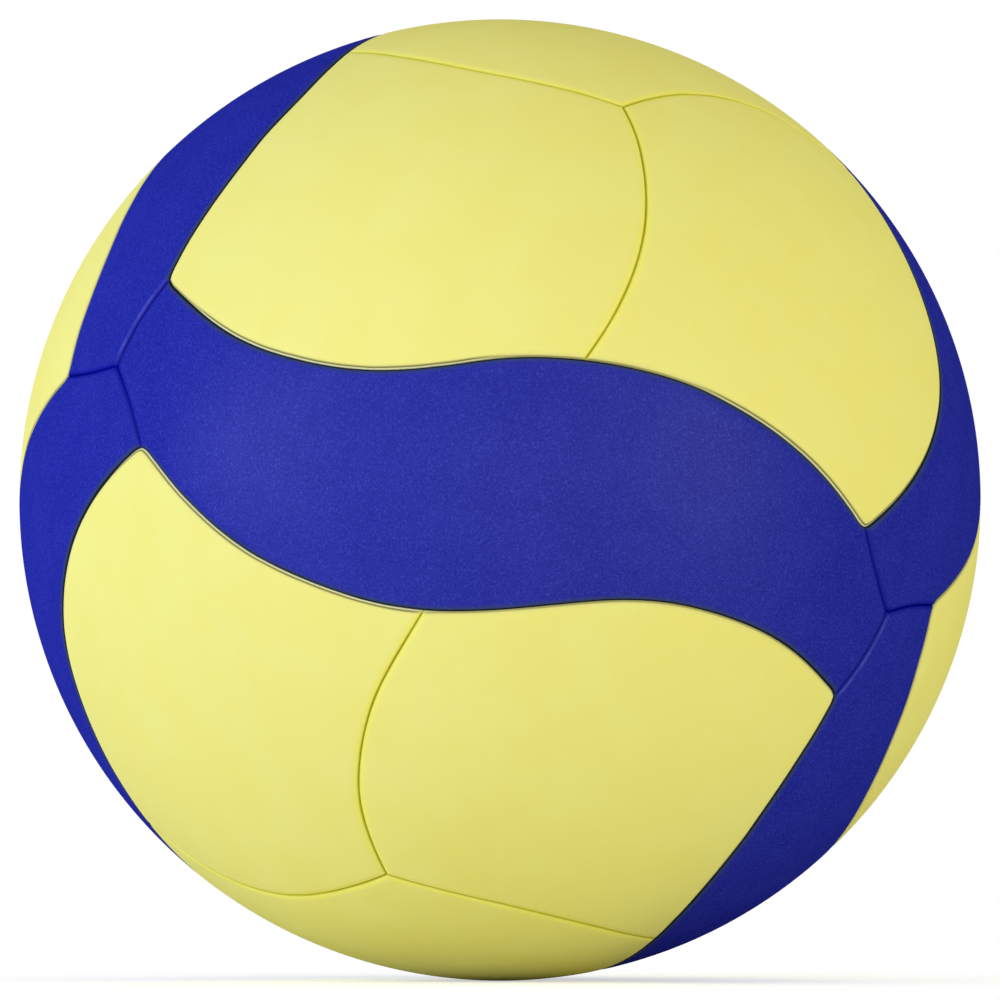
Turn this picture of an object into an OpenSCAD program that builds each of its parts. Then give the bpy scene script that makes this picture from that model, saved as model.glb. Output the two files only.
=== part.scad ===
// Indoor volleyball with eighteen glued panels: six S-shaped blue stripes and twelve yellow panels.
// The origin is the ball's centre, +Z is up and -Y faces the viewer.
// The front blue stripe is centred on -Y, and the valve comes out of the back stripe on +Y.

/* [Ball] */
// Circumference of the inflated ball, round its covers
ball_circumference = 660; // [600:5:720]
// Turn of the whole panel pattern about the Y axis, in degrees
pattern_angle = -27.4; // [-45:0.1:45]

/* [Layers] */
// Thickness of each microfibre cover
cover_t = 1.3; // [1:0.1:2]
// Thickness of the foam backing under each cover
backing_t = 2.2; // [1:0.1:4]
// Thickness of the moulded rubber carcass
carcass_t = 0.7; // [0.4:0.1:1.5]
// Thickness of the layer of wound thread
winding_t = 0.5; // [0.3:0.1:1.5]
// Thickness of the bladder's wall
bladder_t = 0.7; // [0.4:0.1:1.5]
// Glue line between two layers
glue_gap = 0.1; // [0.05:0.01:0.3]

/* [Panel pattern] */
// Distance from a point where three stripes meet to a yellow panel's tip, in degrees of arc
tip_angle = 11.3; // [9:0.1:14]
// Turn of that tip round the meeting point, in degrees
tip_turn_angle = 15.6; // [10:0.1:20]
// Bow of a stripe's long edge to one side, in degrees of arc
edge_bow_angle = -0.7; // [-2:0.1:2]
// S-shaped sway of a stripe's long edge, in degrees of arc
edge_sway_angle = -6.2; // [-8:0.1:-3]
// Flattening of that sway near the edge's middle, in degrees of arc
edge_flattening_angle = -0.7; // [-2:0.1:1]
// Where a yellow seam meets the stripe's long edge, as a share of the edge
junction_share = 0.57; // [0.5:0.01:0.64]
// Bow of the seam between two yellow panels, in degrees of arc
yellow_seam_bow_angle = 4.2; // [0:0.1:7]
// Bow of the seam between two stripes, in degrees of arc
blue_seam_bow_angle = 0.5; // [-1:0.1:1.5]

/* [Seams] */
// Gap between the edges of two neighbouring covers
seam_gap = 0.3; // [0.2:0.05:0.8]
// Width of a cover's rolled edge
edge_roll_w = 1.8; // [1:0.1:3]
// Drop of a cover's rolled edge below the ball's surface
edge_roll_drop = 0.8; // [0.4:0.1:0.9]
// Distance from a cover's edge back to the edge of its backing
backing_setback = 0.3; // [0:0.1:1]

/* [Valve] */
// Diameter of the valve boot's neck, which fills the hole in the back stripe
neck_d = 7.2; // [6.8:0.1:12]
// Gap between the neck and the holes that it passes through
neck_clearance = 0.2; // [0.1:0.05:0.4]
// Depth of the neck's outer end below the ball's surface
neck_recess = 0.5; // [0.2:0.1:1]
// Diameter of the boot's flange, bonded inside the bladder
flange_d = 34; // [24:1:50]
// Thickness of that flange
flange_t = 1.2; // [0.8:0.1:2]
// Length of the boot's sleeve below the flange
sleeve_l = 9; // [6:0.5:14]
// Diameter of the plug's stem
stem_d = 4.4; // [4.2:0.1:5]
// Diameter of the plug's head
head_d = 5.6; // [5.4:0.1:6]
// Thickness of the plug's head
head_t = 1.4; // [1:0.1:2]
// Length of the plug's tip below the sleeve
tip_l = 5; // [3.5:0.5:8]
// Diameter of the collar that keeps the plug in the sleeve
collar_d = 6; // [5.4:0.1:6.4]
// Gap between the plug and the boot
plug_clearance = 0.05; // [0.02:0.01:0.1]
// Diameter of the needle's bore
needle_bore_d = 3.2; // [3:0.1:3.4]
// Depth of the needle's bore
needle_bore_l = 12; // [8:0.5:16]

/* [Hidden] */
blue_colour = "#2c3297";
yellow_colour = "#ece684";
backing_colour = "#d9d6cc";
carcass_colour = "#5b5a58";
winding_colour = "#e6e3da";
bladder_colour = "#26262a";
boot_colour = "#1d1d20";
plug_colour = "#3a3a3e";

// One stretch of outline spans about this many degrees of arc
outline_step_angle = 3;
// Number of slanting bands along a cover's rolled edge
roll_steps = 2;
// Radius of a wedge's outer end, as a share of the ball's radius
outer_share = 1.25;
shell_fn = 160;
valve_fn = 64;
stripe_turns = [0, 120, 240];
face_turns = [[0, 0, 0], [0, 180, 0], [180, 0, 0], [0, 0, 180]];

ball_r = ball_circumference / (2 * PI);
backing_r = ball_r - cover_t - glue_gap;
carcass_r = backing_r - backing_t - glue_gap;
winding_r = carcass_r - carcass_t - glue_gap;
bladder_r = winding_r - winding_t - glue_gap;
flange_r = bladder_r - bladder_t - glue_gap;
neck_top = ball_r - neck_recess;
sleeve_end = flange_r - flange_t - sleeve_l;
tip_end = sleeve_end - tip_l;
// The collar sits just below the sleeve, on the plug's tip
collar_l = (tip_l - stem_d / 2) / 2;
collar_end = sleeve_end - plug_clearance - collar_l;

PLACES = ["front", "back", "right", "left", "top", "bottom"];
FACES = ["top", "bottom", "right", "left"];
BLUE_COVERS = [for (place = PLACES) str(place, "_blue_cover")];
BLUE_BACKINGS = [for (place = PLACES) str(place, "_blue_backing")];
YELLOW_COVERS = [for (face = FACES) for (k = [1:3]) str(face, "_yellow_cover_", k)];
YELLOW_BACKINGS = [for (face = FACES) for (k = [1:3]) str(face, "_yellow_backing_", k)];
INNER_PARTS = ["carcass", "winding", "bladder", "valve_boot", "valve_plug"];

// Directions from the ball's centre

function unit(v) = v / norm(v);

// v turned by an angle about a unit axis
function turned(v, axis, angle) =
    v * cos(angle) + cross(axis, v) * sin(angle) + axis * (axis * v) * (1 - cos(angle));

// v turned half a turn about the Y axis, which swaps the two ends of the front stripe
function swapped(v) = [-v.x, v.y, -v.z];

// The direction at share t of the great-circle arc from p to q
function arc_point(p, q, t) =
    let (angle = acos(p * q))
    (p * sin((1 - t) * angle) + q * sin(t * angle)) / sin(angle);

// The same, swayed sideways off the arc by a sum of sine waves with no sway at either end
function swayed_point(p, q, t, sways) =
    let (
        sway = [for (k = [0:len(sways) - 1]) sways[k] * sin(180 * (k + 1) * t)] * [for (s = sways) 1],
        side = unit(cross(p, q))
    )
    arc_point(p, q, t) * cos(sway) + side * sin(sway);

// Three stripes meet at blue_meet and at far_meet, and three yellow panels at yellow_meet
blue_meet = unit([-1, -1, 1]);
far_meet = swapped(blue_meet);
yellow_meet = unit([1, -1, 1]);
meet_angle = acos(blue_meet * yellow_meet);

// Tips of the two yellow panels at the front stripe's left end, and their twins at its right end
upper_tip = turned(arc_point(blue_meet, yellow_meet, tip_angle / meet_angle), blue_meet, tip_turn_angle);
lower_tip = turned(upper_tip, blue_meet, -120);
far_upper_tip = swapped(lower_tip);
edge_angle = acos(upper_tip * far_upper_tip);

// The front stripe's upper edge, the blue seam at its left end and the yellow seam that meets it
function edge_point(t) =
    swayed_point(upper_tip, far_upper_tip, t, [edge_bow_angle, edge_sway_angle, edge_flattening_angle]);
junction = edge_point(junction_share);
function blue_seam_point(t) = swayed_point(blue_meet, upper_tip, t, [blue_seam_bow_angle]);
function yellow_seam_point(t) = swayed_point(yellow_meet, junction, t, [yellow_seam_bow_angle]);

long_n = round(junction_share * edge_angle / outline_step_angle);
short_n = round((1 - junction_share) * edge_angle / outline_step_angle);
blue_seam_n = round(tip_angle / outline_step_angle);
yellow_seam_n = round(acos(yellow_meet * junction) / outline_step_angle);

long_edge = [for (i = [0:long_n - 1]) edge_point(junction_share * i / long_n)];
short_edge = [for (i = [0:short_n - 1]) edge_point(junction_share + (1 - junction_share) * i / short_n)];
blue_seam = [for (i = [0:blue_seam_n - 1]) blue_seam_point(i / blue_seam_n)];
yellow_seam = [for (i = [0:yellow_seam_n - 1]) yellow_seam_point(i / yellow_seam_n)];

function backwards(points) = [for (i = [len(points) - 1:-1:0]) points[i]];

// A stripe's two sides, each from blue_meet to far_meet
upper_side = concat(blue_seam, long_edge, short_edge, [far_upper_tip],
    backwards([for (i = [1:blue_seam_n - 1]) swapped(turned(blue_seam[i], blue_meet, -120))]), [far_meet]);
lower_side = backwards([for (v = upper_side) swapped(v)]);
side_n = len(upper_side) - 1;

// Outlines run anticlockwise seen from outside the ball
stripe_outline = concat([for (i = [0:side_n - 1]) lower_side[i]],
    [for (i = [side_n:-1:1]) upper_side[i]]);
next_junction = turned(junction, yellow_meet, 120);
yellow_outline = concat(yellow_seam, short_edge, [for (v = long_edge) turned(v, yellow_meet, 120)],
    [next_junction],
    backwards([for (i = [1:yellow_seam_n - 1]) turned(yellow_seam[i], yellow_meet, 120)]));

// Triangles that close an outline, anticlockwise, where index n is the outline's own centre
function upper_index(i) = i == 0 ? 0 : 2 * side_n - i;
stripe_cap = concat([[0, 1, upper_index(1)]],
    [for (i = [1:side_n - 2]) each [
        [i, i + 1, upper_index(i + 1)],
        [i, upper_index(i + 1), upper_index(i)]
    ]],
    [[side_n - 1, side_n, upper_index(side_n - 1)]]);
yellow_n = len(yellow_outline);
yellow_cap = [for (i = [0:yellow_n - 1]) [yellow_n, i, (i + 1) % yellow_n]];

// Wedges that cut a panel out of a spherical shell

// The direction at place i of an outline, moved in from the edge by an arc of length inset
function inset_direction(outline, i, inset) =
    let (
        n = len(outline),
        here = outline[i],
        before = unit(cross(here, here - outline[(i + n - 1) % n])),
        after = unit(cross(here, outline[(i + 1) % n] - here)),
        mitre = (before + after) / (1 + before * after)
    )
    unit(here + mitre * inset / ball_r);

// One ring of points at one radius
function ring(outline, radius, inset) =
    [for (i = [0:len(outline) - 1]) inset_direction(outline, i, inset) * radius];

function middle(outline) = unit([for (v = outline) 1] * outline);

// levels lists [radius, inset] from the innermost ring to the outermost
module wedge(outline, cap, levels) {
    n = len(outline);
    top = (len(levels) - 1) * n;
    hub = top + n;
    points = concat([for (level = levels) each ring(outline, level[0], level[1])],
        [middle(outline) * levels[0][0], middle(outline) * levels[len(levels) - 1][0]]);
    walls = [for (k = [0:len(levels) - 2]) for (i = [0:n - 1])
        let (j = (i + 1) % n, low = k * n, high = low + n)
        each [[low + i, high + i, high + j], [low + i, high + j, low + j]]];
    inner = [for (face = cap) [for (i = face) i == n ? hub : i]];
    outer = [for (face = cap) [for (i = backwards(face)) i == n ? hub + 1 : top + i]];
    polyhedron(points, concat(inner, walls, outer));
}

module shell(outer_r, thickness) {
    difference() {
        sphere(r = outer_r, $fn = shell_fn);
        sphere(r = outer_r - thickness, $fn = shell_fn);
    }
}

module at_valve(distance) {
    rotate([-90, 0, 0]) translate([0, 0, distance]) children();
}

module along_valve(from, to, radius) {
    at_valve(from) cylinder(r = radius, h = to - from, $fn = valve_fn);
}

// A round hole out through every layer on +Y, where the valve's neck passes
module valve_hole() {
    along_valve(0, wedge_outer_r, neck_d / 2 + neck_clearance);
}

// Panels in their places

// A cover's edge rolls over along a quarter of an ellipse and leaves the sphere at its last level
wedge_inner_r = bladder_r - bladder_t;
wedge_outer_r = ball_r * outer_share;
function roll_level(angle) =
    [ball_r - edge_roll_drop * (1 - sin(angle)), seam_gap / 2 + edge_roll_w * (1 - cos(angle))];
last_bend = roll_level(90 * (roll_steps - 1) / roll_steps);
crest = roll_level(90);
past_crest = crest + (crest - last_bend);
cover_levels = concat([[wedge_inner_r, seam_gap / 2]],
    [for (k = [0:roll_steps - 1]) roll_level(90 * k / roll_steps)],
    [past_crest, [wedge_outer_r, past_crest[1]]]);
backing_inset = seam_gap / 2 + backing_setback;
backing_levels = [[wedge_inner_r, backing_inset], [wedge_outer_r, backing_inset]];

module cover_piece(outline, cap) {
    intersection() {
        shell(ball_r, cover_t);
        wedge(outline, cap, cover_levels);
    }
}

module backing_piece(outline, cap) {
    intersection() {
        shell(backing_r, backing_t);
        wedge(outline, cap, backing_levels);
    }
}

module in_pattern() {
    rotate([0, pattern_angle, 0]) children();
}

// Stripes 0 and 1 lie on -Y and +Y, and the others one third of a turn round from them
module at_stripe(k) {
    rotate(a = stripe_turns[floor(k / 2)], v = [1, 1, 1])
        rotate([k % 2 == 0 ? 0 : 180, 0, 0]) children();
}

// Yellow panels come in four groups of three round their meeting points
module at_yellow(k) {
    rotate(face_turns[floor(k / 3)]) rotate(a = 120 * (k % 3), v = yellow_meet) children();
}

module blue_cover(k) {
    color(blue_colour) difference() {
        in_pattern() at_stripe(k) cover_piece(stripe_outline, stripe_cap);
        if (PLACES[k] == "back") valve_hole();
    }
}

module blue_backing(k) {
    color(backing_colour) difference() {
        in_pattern() at_stripe(k) backing_piece(stripe_outline, stripe_cap);
        if (PLACES[k] == "back") valve_hole();
    }
}

module yellow_cover(k) {
    color(yellow_colour) in_pattern() at_yellow(k) cover_piece(yellow_outline, yellow_cap);
}

module yellow_backing(k) {
    color(backing_colour) in_pattern() at_yellow(k) backing_piece(yellow_outline, yellow_cap);
}

// The ball's inside

module layer(outer_r, thickness) {
    difference() {
        shell(outer_r, thickness);
        valve_hole();
    }
}

module carcass() {
    color(carcass_colour) layer(carcass_r, carcass_t);
}

module winding() {
    color(winding_colour) layer(winding_r, winding_t);
}

module bladder() {
    color(bladder_colour) layer(bladder_r, bladder_t);
}

// A neck up through the layers, a flange under the bladder's wall and a sleeve that grips the plug
module valve_boot() {
    color(boot_colour) difference() {
        union() {
            intersection() {
                shell(flange_r, flange_t);
                along_valve(0, ball_r, flange_d / 2);
            }
            along_valve(sleeve_end, neck_top, neck_d / 2);
        }
        along_valve(tip_end, ball_r, stem_d / 2 + plug_clearance);
        along_valve(neck_top - head_t - plug_clearance, ball_r, head_d / 2 + plug_clearance);
    }
}

// A soft plug whose blind bore guides the needle to the slit that closes behind it
module valve_plug() {
    color(plug_colour) difference() {
        union() {
            along_valve(neck_top - head_t, neck_top, head_d / 2);
            along_valve(tip_end + stem_d / 2, neck_top, stem_d / 2);
            at_valve(tip_end + stem_d / 2) sphere(d = stem_d, $fn = valve_fn);
            at_valve(collar_end) cylinder(d1 = stem_d, d2 = collar_d, h = collar_l, $fn = valve_fn);
        }
        along_valve(neck_top - needle_bore_l, ball_r, needle_bore_d / 2);
    }
}

for (k = [0:len(BLUE_COVERS) - 1]) {
    blue_cover(k);
    blue_backing(k);
}
for (k = [0:len(YELLOW_COVERS) - 1]) {
    yellow_cover(k);
    yellow_backing(k);
}
carcass();
winding();
bladder();
valve_boot();
valve_plug();
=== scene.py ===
# %% [markdown]
# An indoor volleyball
#
# The ball has eighteen glued covers: six S-shaped blue stripes and twelve yellow panels. Under them
# lie foam backings, a rubber carcass, a layer of wound thread and the bladder, and a rubber valve
# comes out through the back stripe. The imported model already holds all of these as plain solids.
# This script gives the covers their rolled, glued edges and every piece its finish.
#
# The frame has the ball's centre at the origin, -Y towards the viewer and +Z up, in metres.

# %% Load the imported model
from math import cos, hypot, pi, radians, sin, sqrt

import bmesh
import bpy
import numpy as np
from mathutils import Matrix, Vector, noise


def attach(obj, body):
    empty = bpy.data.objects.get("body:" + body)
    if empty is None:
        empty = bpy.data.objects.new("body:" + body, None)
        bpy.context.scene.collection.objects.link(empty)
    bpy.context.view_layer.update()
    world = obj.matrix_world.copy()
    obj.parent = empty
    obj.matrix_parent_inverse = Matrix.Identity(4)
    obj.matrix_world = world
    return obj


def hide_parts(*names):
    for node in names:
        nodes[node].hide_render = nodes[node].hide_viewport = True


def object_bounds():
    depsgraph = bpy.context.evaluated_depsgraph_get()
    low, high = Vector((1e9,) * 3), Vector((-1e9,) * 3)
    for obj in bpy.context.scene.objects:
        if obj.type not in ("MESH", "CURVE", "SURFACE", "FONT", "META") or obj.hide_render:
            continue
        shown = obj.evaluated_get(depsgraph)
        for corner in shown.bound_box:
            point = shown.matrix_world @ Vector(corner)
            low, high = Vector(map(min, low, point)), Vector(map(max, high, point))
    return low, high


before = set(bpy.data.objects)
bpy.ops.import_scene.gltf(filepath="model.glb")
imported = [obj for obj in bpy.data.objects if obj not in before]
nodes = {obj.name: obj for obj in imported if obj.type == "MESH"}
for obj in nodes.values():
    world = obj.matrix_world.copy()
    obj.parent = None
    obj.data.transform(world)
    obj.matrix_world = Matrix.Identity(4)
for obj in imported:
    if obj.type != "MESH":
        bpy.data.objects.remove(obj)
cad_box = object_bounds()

MM = 0.001
scene = bpy.context.scene
scene.view_settings.view_transform = "Standard"
print("nodes:", len(nodes))

# %% [markdown]
# Sizes that the frame gives
#
# A piece that stands for a node has to fill the same space, so its sizes come from the node's own
# vertices. A cover is a piece of a spherical shell, and its nearest vertex gives the inner radius.
# The solids' sphere has small flat faces, so their box is a hair nearer on some sides than on
# others. The covers' outer radius is its nearest side, because nothing may stand out of it.

# %% Read the covers' radii
BALL_R = min(-c for c in cad_box[0])
COVER_INNER_R = min(v.co.length for v in nodes["front_blue_cover"].data.vertices)
print("cover from", round(COVER_INNER_R / MM, 2), "to", round(BALL_R / MM, 2), "mm")

# %% [markdown]
# The boot and the plug are turned about the Y axis, so each of their vertices is a radius and a
# height. Every size of theirs is the largest, the smallest or the next one among those.

# %% Read the valve's sizes
NEAR = 0.01 * MM


def from_axis(point):
    """Distance of a point from the valve's axis, which is the Y axis."""
    return hypot(point.x, point.z)


def turned_steps(name):
    """The radii around the valve's axis, and the heights along it, of a node's vertices."""
    return [(from_axis(v.co), v.co.y) for v in nodes[name].data.vertices]


def radii_at(steps, height):
    """The radii of the vertices at a height."""
    return [r for r, y in steps if abs(y - height) < NEAR]


def heights_at(steps, radius, above=0.0):
    """The heights of the vertices at a radius, as far as they lie above a height."""
    return [y for r, y in steps if abs(r - radius) < NEAR and y > above]


boot_steps = turned_steps("valve_boot")
plug_steps = turned_steps("valve_plug")
FLANGE_R = max(r for r, y in boot_steps)
NECK_TOP = max(y for r, y in boot_steps)
SLEEVE_END = min(y for r, y in boot_steps)
SLEEVE_BORE_R, NECK_R = min(radii_at(boot_steps, SLEEVE_END)), max(radii_at(boot_steps, SLEEVE_END))
HEAD_HOLE_R = min(radii_at(boot_steps, NECK_TOP))
HEAD_SEAT = min(heights_at(boot_steps, HEAD_HOLE_R))
flange_lengths = [hypot(FLANGE_R, y) for y in heights_at(boot_steps, FLANGE_R)]
FLANGE_INNER, FLANGE_OUTER = min(flange_lengths), max(flange_lengths)
HEAD_TOP = max(y for r, y in plug_steps)
BORE_R, HEAD_R = min(radii_at(plug_steps, HEAD_TOP)), max(radii_at(plug_steps, HEAD_TOP))
BORE_END = min(heights_at(plug_steps, BORE_R, SLEEVE_END))
HEAD_UNDER = min(heights_at(plug_steps, HEAD_R, SLEEVE_END))
TIP_END = min(y for r, y in plug_steps)
COLLAR_R = max(r for r, y in plug_steps if y < SLEEVE_END)
COLLAR_END = max(y for r, y in plug_steps if y < SLEEVE_END)
STEM_R = min(radii_at(plug_steps, COLLAR_END))
COLLAR_START = max(y for y in heights_at(plug_steps, STEM_R) if y < COLLAR_END - NEAR)
print("flange radius", round(FLANGE_R / MM, 2), "neck radius", round(NECK_R / MM, 2), "mm")
print("plug head radius", round(HEAD_R / MM, 2), "mm")
print("bore depth", round((HEAD_TOP - BORE_END) / MM, 2), "mm")

# %% [markdown]
# Camera
#
# The photograph was taken from far away, so the ball shows almost no perspective. Its outline is a
# circle with a radius of 480.7 pixels, and the seams fit best with the camera twenty radii away,
# half a degree to the left and two degrees below the ball's middle. A sphere at distance d shows
# as a circle of radius f / sqrt(d * d - 1), with d in radii, which gives the lens.

# %% Place the camera
PICTURE_SIDE = 1000
BALL_RADIUS_PX = 480.7
CAMERA_RADII = 20
CAMERA_TO_LEFT = radians(0.5)
CAMERA_BELOW = radians(2.0)
CLIP_END_RADII = 200

to_camera = Vector((
    -sin(CAMERA_TO_LEFT) * cos(CAMERA_BELOW),
    -cos(CAMERA_TO_LEFT) * cos(CAMERA_BELOW),
    -sin(CAMERA_BELOW),
))
camera_data = bpy.data.cameras.new("camera")
camera = bpy.data.objects.new("camera", camera_data)
scene.collection.objects.link(camera)
camera.location = to_camera * CAMERA_RADII * BALL_R
camera.rotation_euler = to_camera.to_track_quat("Z", "Y").to_euler()
focal_px = BALL_RADIUS_PX * sqrt(CAMERA_RADII ** 2 - 1)
camera_data.lens = camera_data.sensor_width * focal_px / PICTURE_SIDE
camera_data.clip_start = BALL_R
camera_data.clip_end = CLIP_END_RADII * BALL_R
scene.camera = camera
print("lens", round(camera_data.lens, 1), "mm, camera at", [round(x, 3) for x in camera.location])

# %% [markdown]
# A short way to write node trees
#
# Every finish below is a tree of shader nodes. One helper adds a node and fills or links its
# sockets, and a few more name the nodes used most, so that a material reads like a formula.

# %% Add a node
def put(tree, kind, inputs=None, **settings):
    """Adds a shader node, sets its properties, and fills or links each input named or numbered."""
    made = tree.nodes.new("ShaderNode" + kind)
    for name, value in settings.items():
        setattr(made, name, value)
    for key, value in (inputs or {}).items():
        if isinstance(value, bpy.types.NodeSocket):
            tree.links.new(value, made.inputs[key])
        else:
            made.inputs[key].default_value = value
    return made


# %% The nodes used most
# Sockets of a Mix node that mixes colours: its share, its two colours and its result
MIX_SHARE, MIX_A, MIX_B, MIX_RESULT = 0, 6, 7, 2


def maths(tree, operation, a, b=0.0):
    """The result of a Math node."""
    return put(tree, "Math", {0: a, 1: b}, operation=operation).outputs[0]


def mixed(tree, share, a, b):
    """Colour a, going over to colour b as share goes from 0 to 1."""
    mix = put(tree, "Mix", {MIX_SHARE: share, MIX_A: a, MIX_B: b}, data_type="RGBA")
    return mix.outputs[MIX_RESULT]


def ramped(tree, value, start, end, low=0.0, high=1.0):
    """Goes smoothly from low to high as value goes from start to end."""
    inputs = {"Value": value, "From Min": start, "From Max": end, "To Min": low, "To Max": high}
    return put(tree, "MapRange", inputs, interpolation_type="SMOOTHSTEP").outputs[0]


def falling(tree, value, start, end):
    """Goes smoothly from 1 to 0 as value goes from start to end."""
    return ramped(tree, value, start, end, 1.0, 0.0)


def banded(tree, value, start, middle, end):
    """Rises from 0 at start to 1 at middle, and falls to 0 again at end."""
    return maths(tree, "MULTIPLY", ramped(tree, value, start, middle), falling(tree, value, middle, end))


# %% Patterns and bumps of a given size
def object_place(tree, size_mm):
    """Object coordinates in units of size_mm."""
    place = put(tree, "TexCoord").outputs["Object"]
    scale = 1 / (size_mm * MM)
    return put(tree, "Mapping", {"Vector": place, "Scale": (scale,) * 3}).outputs[0]


def speckle(tree, size_mm, detail=2.0, roughness=0.5):
    """Noise whose blobs are about size_mm across, from 0 to 1."""
    inputs = {"Scale": 1.0, "Detail": detail, "Roughness": roughness}
    return put(tree, "TexNoise", {"Vector": object_place(tree, size_mm), **inputs}).outputs[0]


def bumped(tree, height, strength, depth_mm):
    """Normals of a surface that rises by depth_mm where height is 1."""
    inputs = {"Height": height, "Strength": strength, "Distance": depth_mm * MM}
    return put(tree, "Bump", inputs).outputs[0]


# %% Node groups, materials and colours
def new_group(name, inputs, outputs):
    """An empty node group with float inputs, given as name and default, and named float outputs."""
    tree = bpy.data.node_groups.new(name, "ShaderNodeTree")
    for label, value in inputs.items():
        socket = tree.interface.new_socket(label, in_out="INPUT", socket_type="NodeSocketFloat")
        socket.default_value = value
    for label in outputs:
        tree.interface.new_socket(label, in_out="OUTPUT", socket_type="NodeSocketFloat")
    return tree, tree.nodes.new("NodeGroupInput").outputs, tree.nodes.new("NodeGroupOutput").inputs


def use_group(tree, group, **inputs):
    """Places a node group in a tree, with its inputs' spaces written as underscores."""
    made = put(tree, "Group", node_tree=group)
    for label, value in inputs.items():
        made.inputs[label.replace("_", " ")].default_value = value
    return made.outputs


def new_material(name):
    """A material with its Principled BSDF, as (material, tree, shader's inputs)."""
    material = bpy.data.materials.new(name)
    material.use_nodes = True
    tree = material.node_tree
    return material, tree, tree.nodes["Principled BSDF"].inputs


def linked(tree, **sockets):
    """Links sockets to the Principled BSDF's inputs, with their spaces written as underscores."""
    shader = tree.nodes["Principled BSDF"]
    for label, socket in sockets.items():
        tree.links.new(socket, shader.inputs[label.replace("_", " ")])


def linear(red, green, blue):
    """An 8-bit screen colour as linear light, by the standard curve of sRGB."""
    values = [c / 255 for c in (red, green, blue)]
    return (*[c / 12.92 if c <= 0.04045 else ((c + 0.055) / 1.055) ** 2.4 for c in values], 1.0)


# %% [markdown]
# Effects that several finishes share
#
# Moulded rubber and microfibre both have a fine grain, with more or fewer pores in it. It could
# be painted, but noise on object coordinates needs no image and keeps its size on every piece.
# The covers also share what happens along a glued edge. Each cover's vertices will store their
# distance to its rim in millimetres as the attribute edge_mm, whether the other colour lies beyond
# it as by_other, how far the cut edge lies bare there as lip_share, and whether the rim stands
# proud of its neighbour as proud_rim. Here they become soft bands, each multiplied with what says
# where it shows. Where two colours meet, the bands are a wide verge of painted shade, the painted
# shade down in the gap, the pale lip of the cut edge and the crease behind it, painted dark as shade.
# Where a colour meets itself, they are a wide valley and the dark groove in it, both painted shade,
# a painted highlight on the flank where it would catch the light, and a painted highlight along the
# ridge of a proud rim. Thread is drawn too, as waves that run round the ball about four axes, with
# painted shade in the hollows between them.

# %% Build the grain group
GRAIN_MM = 0.45
PORE_MM = 0.4
# The specks are painted glints where the grain stands high, and the pits painted shade where it lies low
GLINT_LEVELS = (0.52, 0.68)
PIT_SHADE_LEVELS = (0.32, 0.46)

grain, grain_in, grain_out = new_group(
    "fine grain", {"Fine share": 0.5}, ["Height", "Grain glints", "Pit shade"])
coarse_grain = speckle(grain, GRAIN_MM)
cells = put(grain, "TexVoronoi", {"Vector": object_place(grain, PORE_MM), "Scale": 1.0})
pores = maths(grain, "MULTIPLY", cells.outputs["Distance"], grain_in["Fine share"])
grain.links.new(maths(grain, "ADD", coarse_grain, pores), grain_out["Height"])
grain.links.new(ramped(grain, coarse_grain, *GLINT_LEVELS), grain_out["Grain glints"])
grain.links.new(falling(grain, coarse_grain, *PIT_SHADE_LEVELS), grain_out["Pit shade"])
print("grain of", GRAIN_MM, "mm with pores of", PORE_MM, "mm")

# %% Build the group of bands along a rim
WOBBLE_MM = 6.0
NOISE_MIDDLE = 0.5
# Where the painted highlight along a proud rim breaks up and how strong it stays
RIDGE_BREAK_MM = 4.0
RIDGE_BREAK_LEVELS = (0.35, 0.6)
RIDGE_STRENGTHS = (0.5, 1.0)

rim, rim_in, rim_out = new_group("rim bands", {"Wobble": 0.1}, [
    "Verge shade", "Shade", "Lip", "Crease shade", "Valley shade", "Groove shade", "Flank highlight", "Ridge highlight"])
edge_mm, by_other, lip_share, proud_rim = [
    put(rim, "Attribute", attribute_name=name).outputs["Fac"]
    for name in ("edge_mm", "by_other", "lip_share", "proud_rim")]
by_same = maths(rim, "SUBTRACT", 1.0, by_other)
wander = maths(rim, "SUBTRACT", speckle(rim, WOBBLE_MM), NOISE_MIDDLE)
place_mm = maths(rim, "ADD", edge_mm, maths(rim, "MULTIPLY", wander, rim_in["Wobble"]))
broken = ramped(rim, speckle(rim, RIDGE_BREAK_MM), *RIDGE_BREAK_LEVELS, *RIDGE_STRENGTHS)
ridge_highlight = maths(rim, "MULTIPLY", proud_rim, broken)

# The verge, shade, crease, valley and groove bands are painted shade, the flank and ridge bands painted
# highlights, and the lip is the cut edge's own pale colour.
# Each band's name, its course, where that turns in millimetres from the rim, and where it shows
BANDS = (
    ("Verge shade", falling, (0.1, 1.5), [by_other]),
    ("Shade", falling, (0.2, 0.46), [by_other]),
    ("Lip", banded, (0.0, 0.12, 0.32), [lip_share, by_other]),
    ("Crease shade", banded, (0.18, 0.38, 0.8), [lip_share, by_other]),
    ("Valley shade", falling, (0.1, 1.3), [by_same]),
    ("Groove shade", falling, (0.05, 0.4), [by_same]),
    ("Flank highlight", banded, (0.2, 0.6, 1.5), [by_same]),
    ("Ridge highlight", banded, (0.25, 0.75, 1.45), [ridge_highlight, by_same]),
)
for label, course, turns_mm, shares in BANDS:
    band = course(rim, place_mm, *turns_mm)
    for share in shares:
        band = maths(rim, "MULTIPLY", band, share)
    rim.links.new(band, rim_out[label])
print("bands along a rim:", [label for label, *_ in BANDS])

# %% Build the group of threads that cross
THREAD_TURNS = ((0, 0, 0), (90, 20, 0), (20, 90, 40), (55, 40, 70))
# Where the painted shade in the hollows between threads begins and ends
HOLLOW_SHADE_LEVELS = (0.2, 0.8)

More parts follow.
